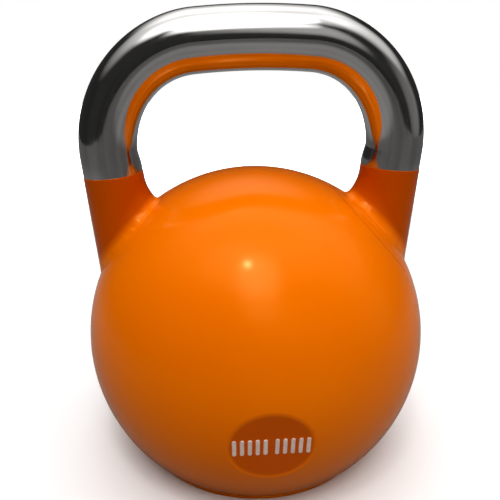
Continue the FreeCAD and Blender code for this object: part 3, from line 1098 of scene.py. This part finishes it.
def place_camera():
    camera = bpy.data.objects.new("camera", bpy.data.cameras.new("camera"))
    bpy.context.scene.collection.objects.link(camera)
    bpy.context.scene.camera = camera
    camera.location = Vector(BALL_CENTRE) + compass(CAMERA_AZIMUTH, CAMERA_ELEVATION) * CAMERA_DISTANCE
    turn = Matrix.Rotation(CAMERA_YAW, 4, "Z") @ Matrix.Rotation(math.pi / 2 + CAMERA_PITCH, 4, "X")
    camera.rotation_euler = (turn @ Matrix.Rotation(CAMERA_ROLL, 4, "Z")).to_euler()
    camera.data.lens = CAMERA_LENS_MM
    camera.data.sensor_width = CAMERA_SENSOR_MM
    camera.data.shift_x, camera.data.shift_y = CAMERA_SHIFT
    camera.data.clip_start = CAMERA_NEAR


def floor_paper():
    """Looks white to the camera but throws back little light, and less further out, where it ends in haze."""
    material, tree, shader = node_material("floor_paper")
    reach = add(tree, "ShaderNodeVectorMath", operation="LENGTH")
    tree.links.new(object_place(tree), reach.inputs[0])
    radii = (FLOOR_LIT_RADIUS, FLOOR_DARK_RADIUS)
    far = spread(tree, reach.outputs["Value"], radii, RISING, easing="SMOOTHSTEP")
    seen = camera_ray(tree)
    bounce = mix_colours(tree, far, FLOOR_BOUNCE, FLOOR_FAR_BOUNCE)
    tree.links.new(mix_colours(tree, seen, bounce, FLOOR_SEEN), shader.inputs["Base Color"])
    shader.inputs["Emission Color"].default_value = (*WHITE, 1)
    tree.links.new(maths(tree, "MULTIPLY", seen, far), shader.inputs["Emission Strength"])
    shader.inputs["Roughness"].default_value = FLOOR_ROUGHNESS
    return material


def pale_floor():
    mesh = bpy.data.meshes.new("floor")
    corners = [(-1, -1), (1, -1), (1, 1), (-1, 1)]
    mesh.from_pydata([(x * FLOOR_HALF, y * FLOOR_HALF, 0) for x, y in corners], [], [(0, 1, 2, 3)])
    mesh.materials.append(floor_paper())
    floor = bpy.data.objects.new("floor", mesh)
    bpy.context.scene.collection.objects.link(floor)


def panel_glow(tree, place, panel):
    """A round panel of light far away, with a soft edge."""
    name, azimuth, elevation, full, edge, strength = panel
    facing = add(tree, "ShaderNodeVectorMath", operation="DOT_PRODUCT", label=name)
    facing.inputs[1].default_value = compass(azimuth, elevation)
    tree.links.new(place, facing.inputs[0])
    closeness = [math.cos(math.radians(angle)) for angle in (edge, full)]
    glow = spread(tree, facing.outputs["Value"], closeness, RISING, easing="SMOOTHSTEP")
    light = add(tree, "ShaderNodeVectorMath", operation="SCALE")
    light.inputs[0].default_value = (strength,) * 3
    tree.links.new(glow, light.inputs["Scale"])
    return light.outputs["Vector"]


def studio_world():
    """Dark studio walls and the soft panels round the object, with plain white behind it for the camera."""
    world = bpy.data.worlds.new("studio")
    bpy.context.scene.world = world
    world.use_nodes = True
    tree = world.node_tree
    place = add(tree, "ShaderNodeTexCoord").outputs["Generated"]
    total = add(tree, "ShaderNodeVectorMath", operation="ADD")
    total.inputs[0].default_value = WALL_LIGHT
    for panel in PANELS:
        tree.links.new(panel_glow(tree, place, panel), total.inputs[1])
        following = add(tree, "ShaderNodeVectorMath", operation="ADD")
        tree.links.new(total.outputs["Vector"], following.inputs[0])
        total = following
    colour = mix_colours(tree, camera_ray(tree), total.outputs["Vector"], WHITE)
    tree.links.new(colour, tree.nodes["Background"].inputs["Color"])


def key_light():
    """The small bright lamp that makes the highlights; it looks at the ball's centre."""
    data = bpy.data.lights.new("key_lamp", "AREA")
    data.shape = "DISK"
    data.size = KEY_SIZE
    area = math.pi * KEY_SIZE ** 2 / 4
    data.energy = KEY_RADIANCE * math.pi * area
    lamp = bpy.data.objects.new("key_lamp", data)
    bpy.context.scene.collection.objects.link(lamp)
    way = compass(KEY_AZIMUTH, KEY_ELEVATION)
    lamp.location = Vector(BALL_CENTRE) + way * KEY_DISTANCE
    lamp.rotation_euler = way.to_track_quat("Z", "Y").to_euler()


def grade():
    """A plain view of the scene with a little extra contrast, as a camera's own processing gives."""
    view = bpy.context.scene.view_settings
    view.view_transform = "Standard"
    view.use_curve_mapping = True
    mapping = view.curve_mapping
    mapping.black_level = (BLACK_LEVEL,) * 3
    curve = mapping.curves[3]
    for place in CONTRAST_PLACES:
        curve.points.new(place, place ** CONTRAST)
    mapping.update()


# ---------------------------------------------------------------- build


def main():
    paint = enamel()
    chrome = polished_steel()
    steel = bare_steel()
    place_camera()
    pale_floor()
    studio_world()
    key_light()
    grade()
    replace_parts(upper_shell(paint), "upper_shell", "girth_weld")
    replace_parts(lower_shell(paint), "lower_shell")
    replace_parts(horn("left_horn_enamelled", paint, -1), "left_horn", "left_horn_weld")
    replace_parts(horn("right_horn_enamelled", paint, 1), "right_horn", "right_horn_weld")
    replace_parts(base_plate(paint), "base_plate", "base_weld")
    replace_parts(handle_tube(chrome), "handle_tube")
    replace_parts(collar("left_collar_polished", chrome, -1), "left_collar")
    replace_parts(collar("right_collar_polished", chrome, 1), "right_collar")
    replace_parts(plug_washer(seal_rubber()), "plug_washer")
    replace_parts(fill_plug(steel), "fill_plug")
    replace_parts(weight_marks(mark_paint()), "weight_marks")
    plain = {"ballast": filling(), "girth_backing_ring": steel, "left_dowel": steel, "right_dowel": steel}
    for node, material in plain.items():
        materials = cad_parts[node].data.materials
        materials.clear()
        materials.append(material)


main()
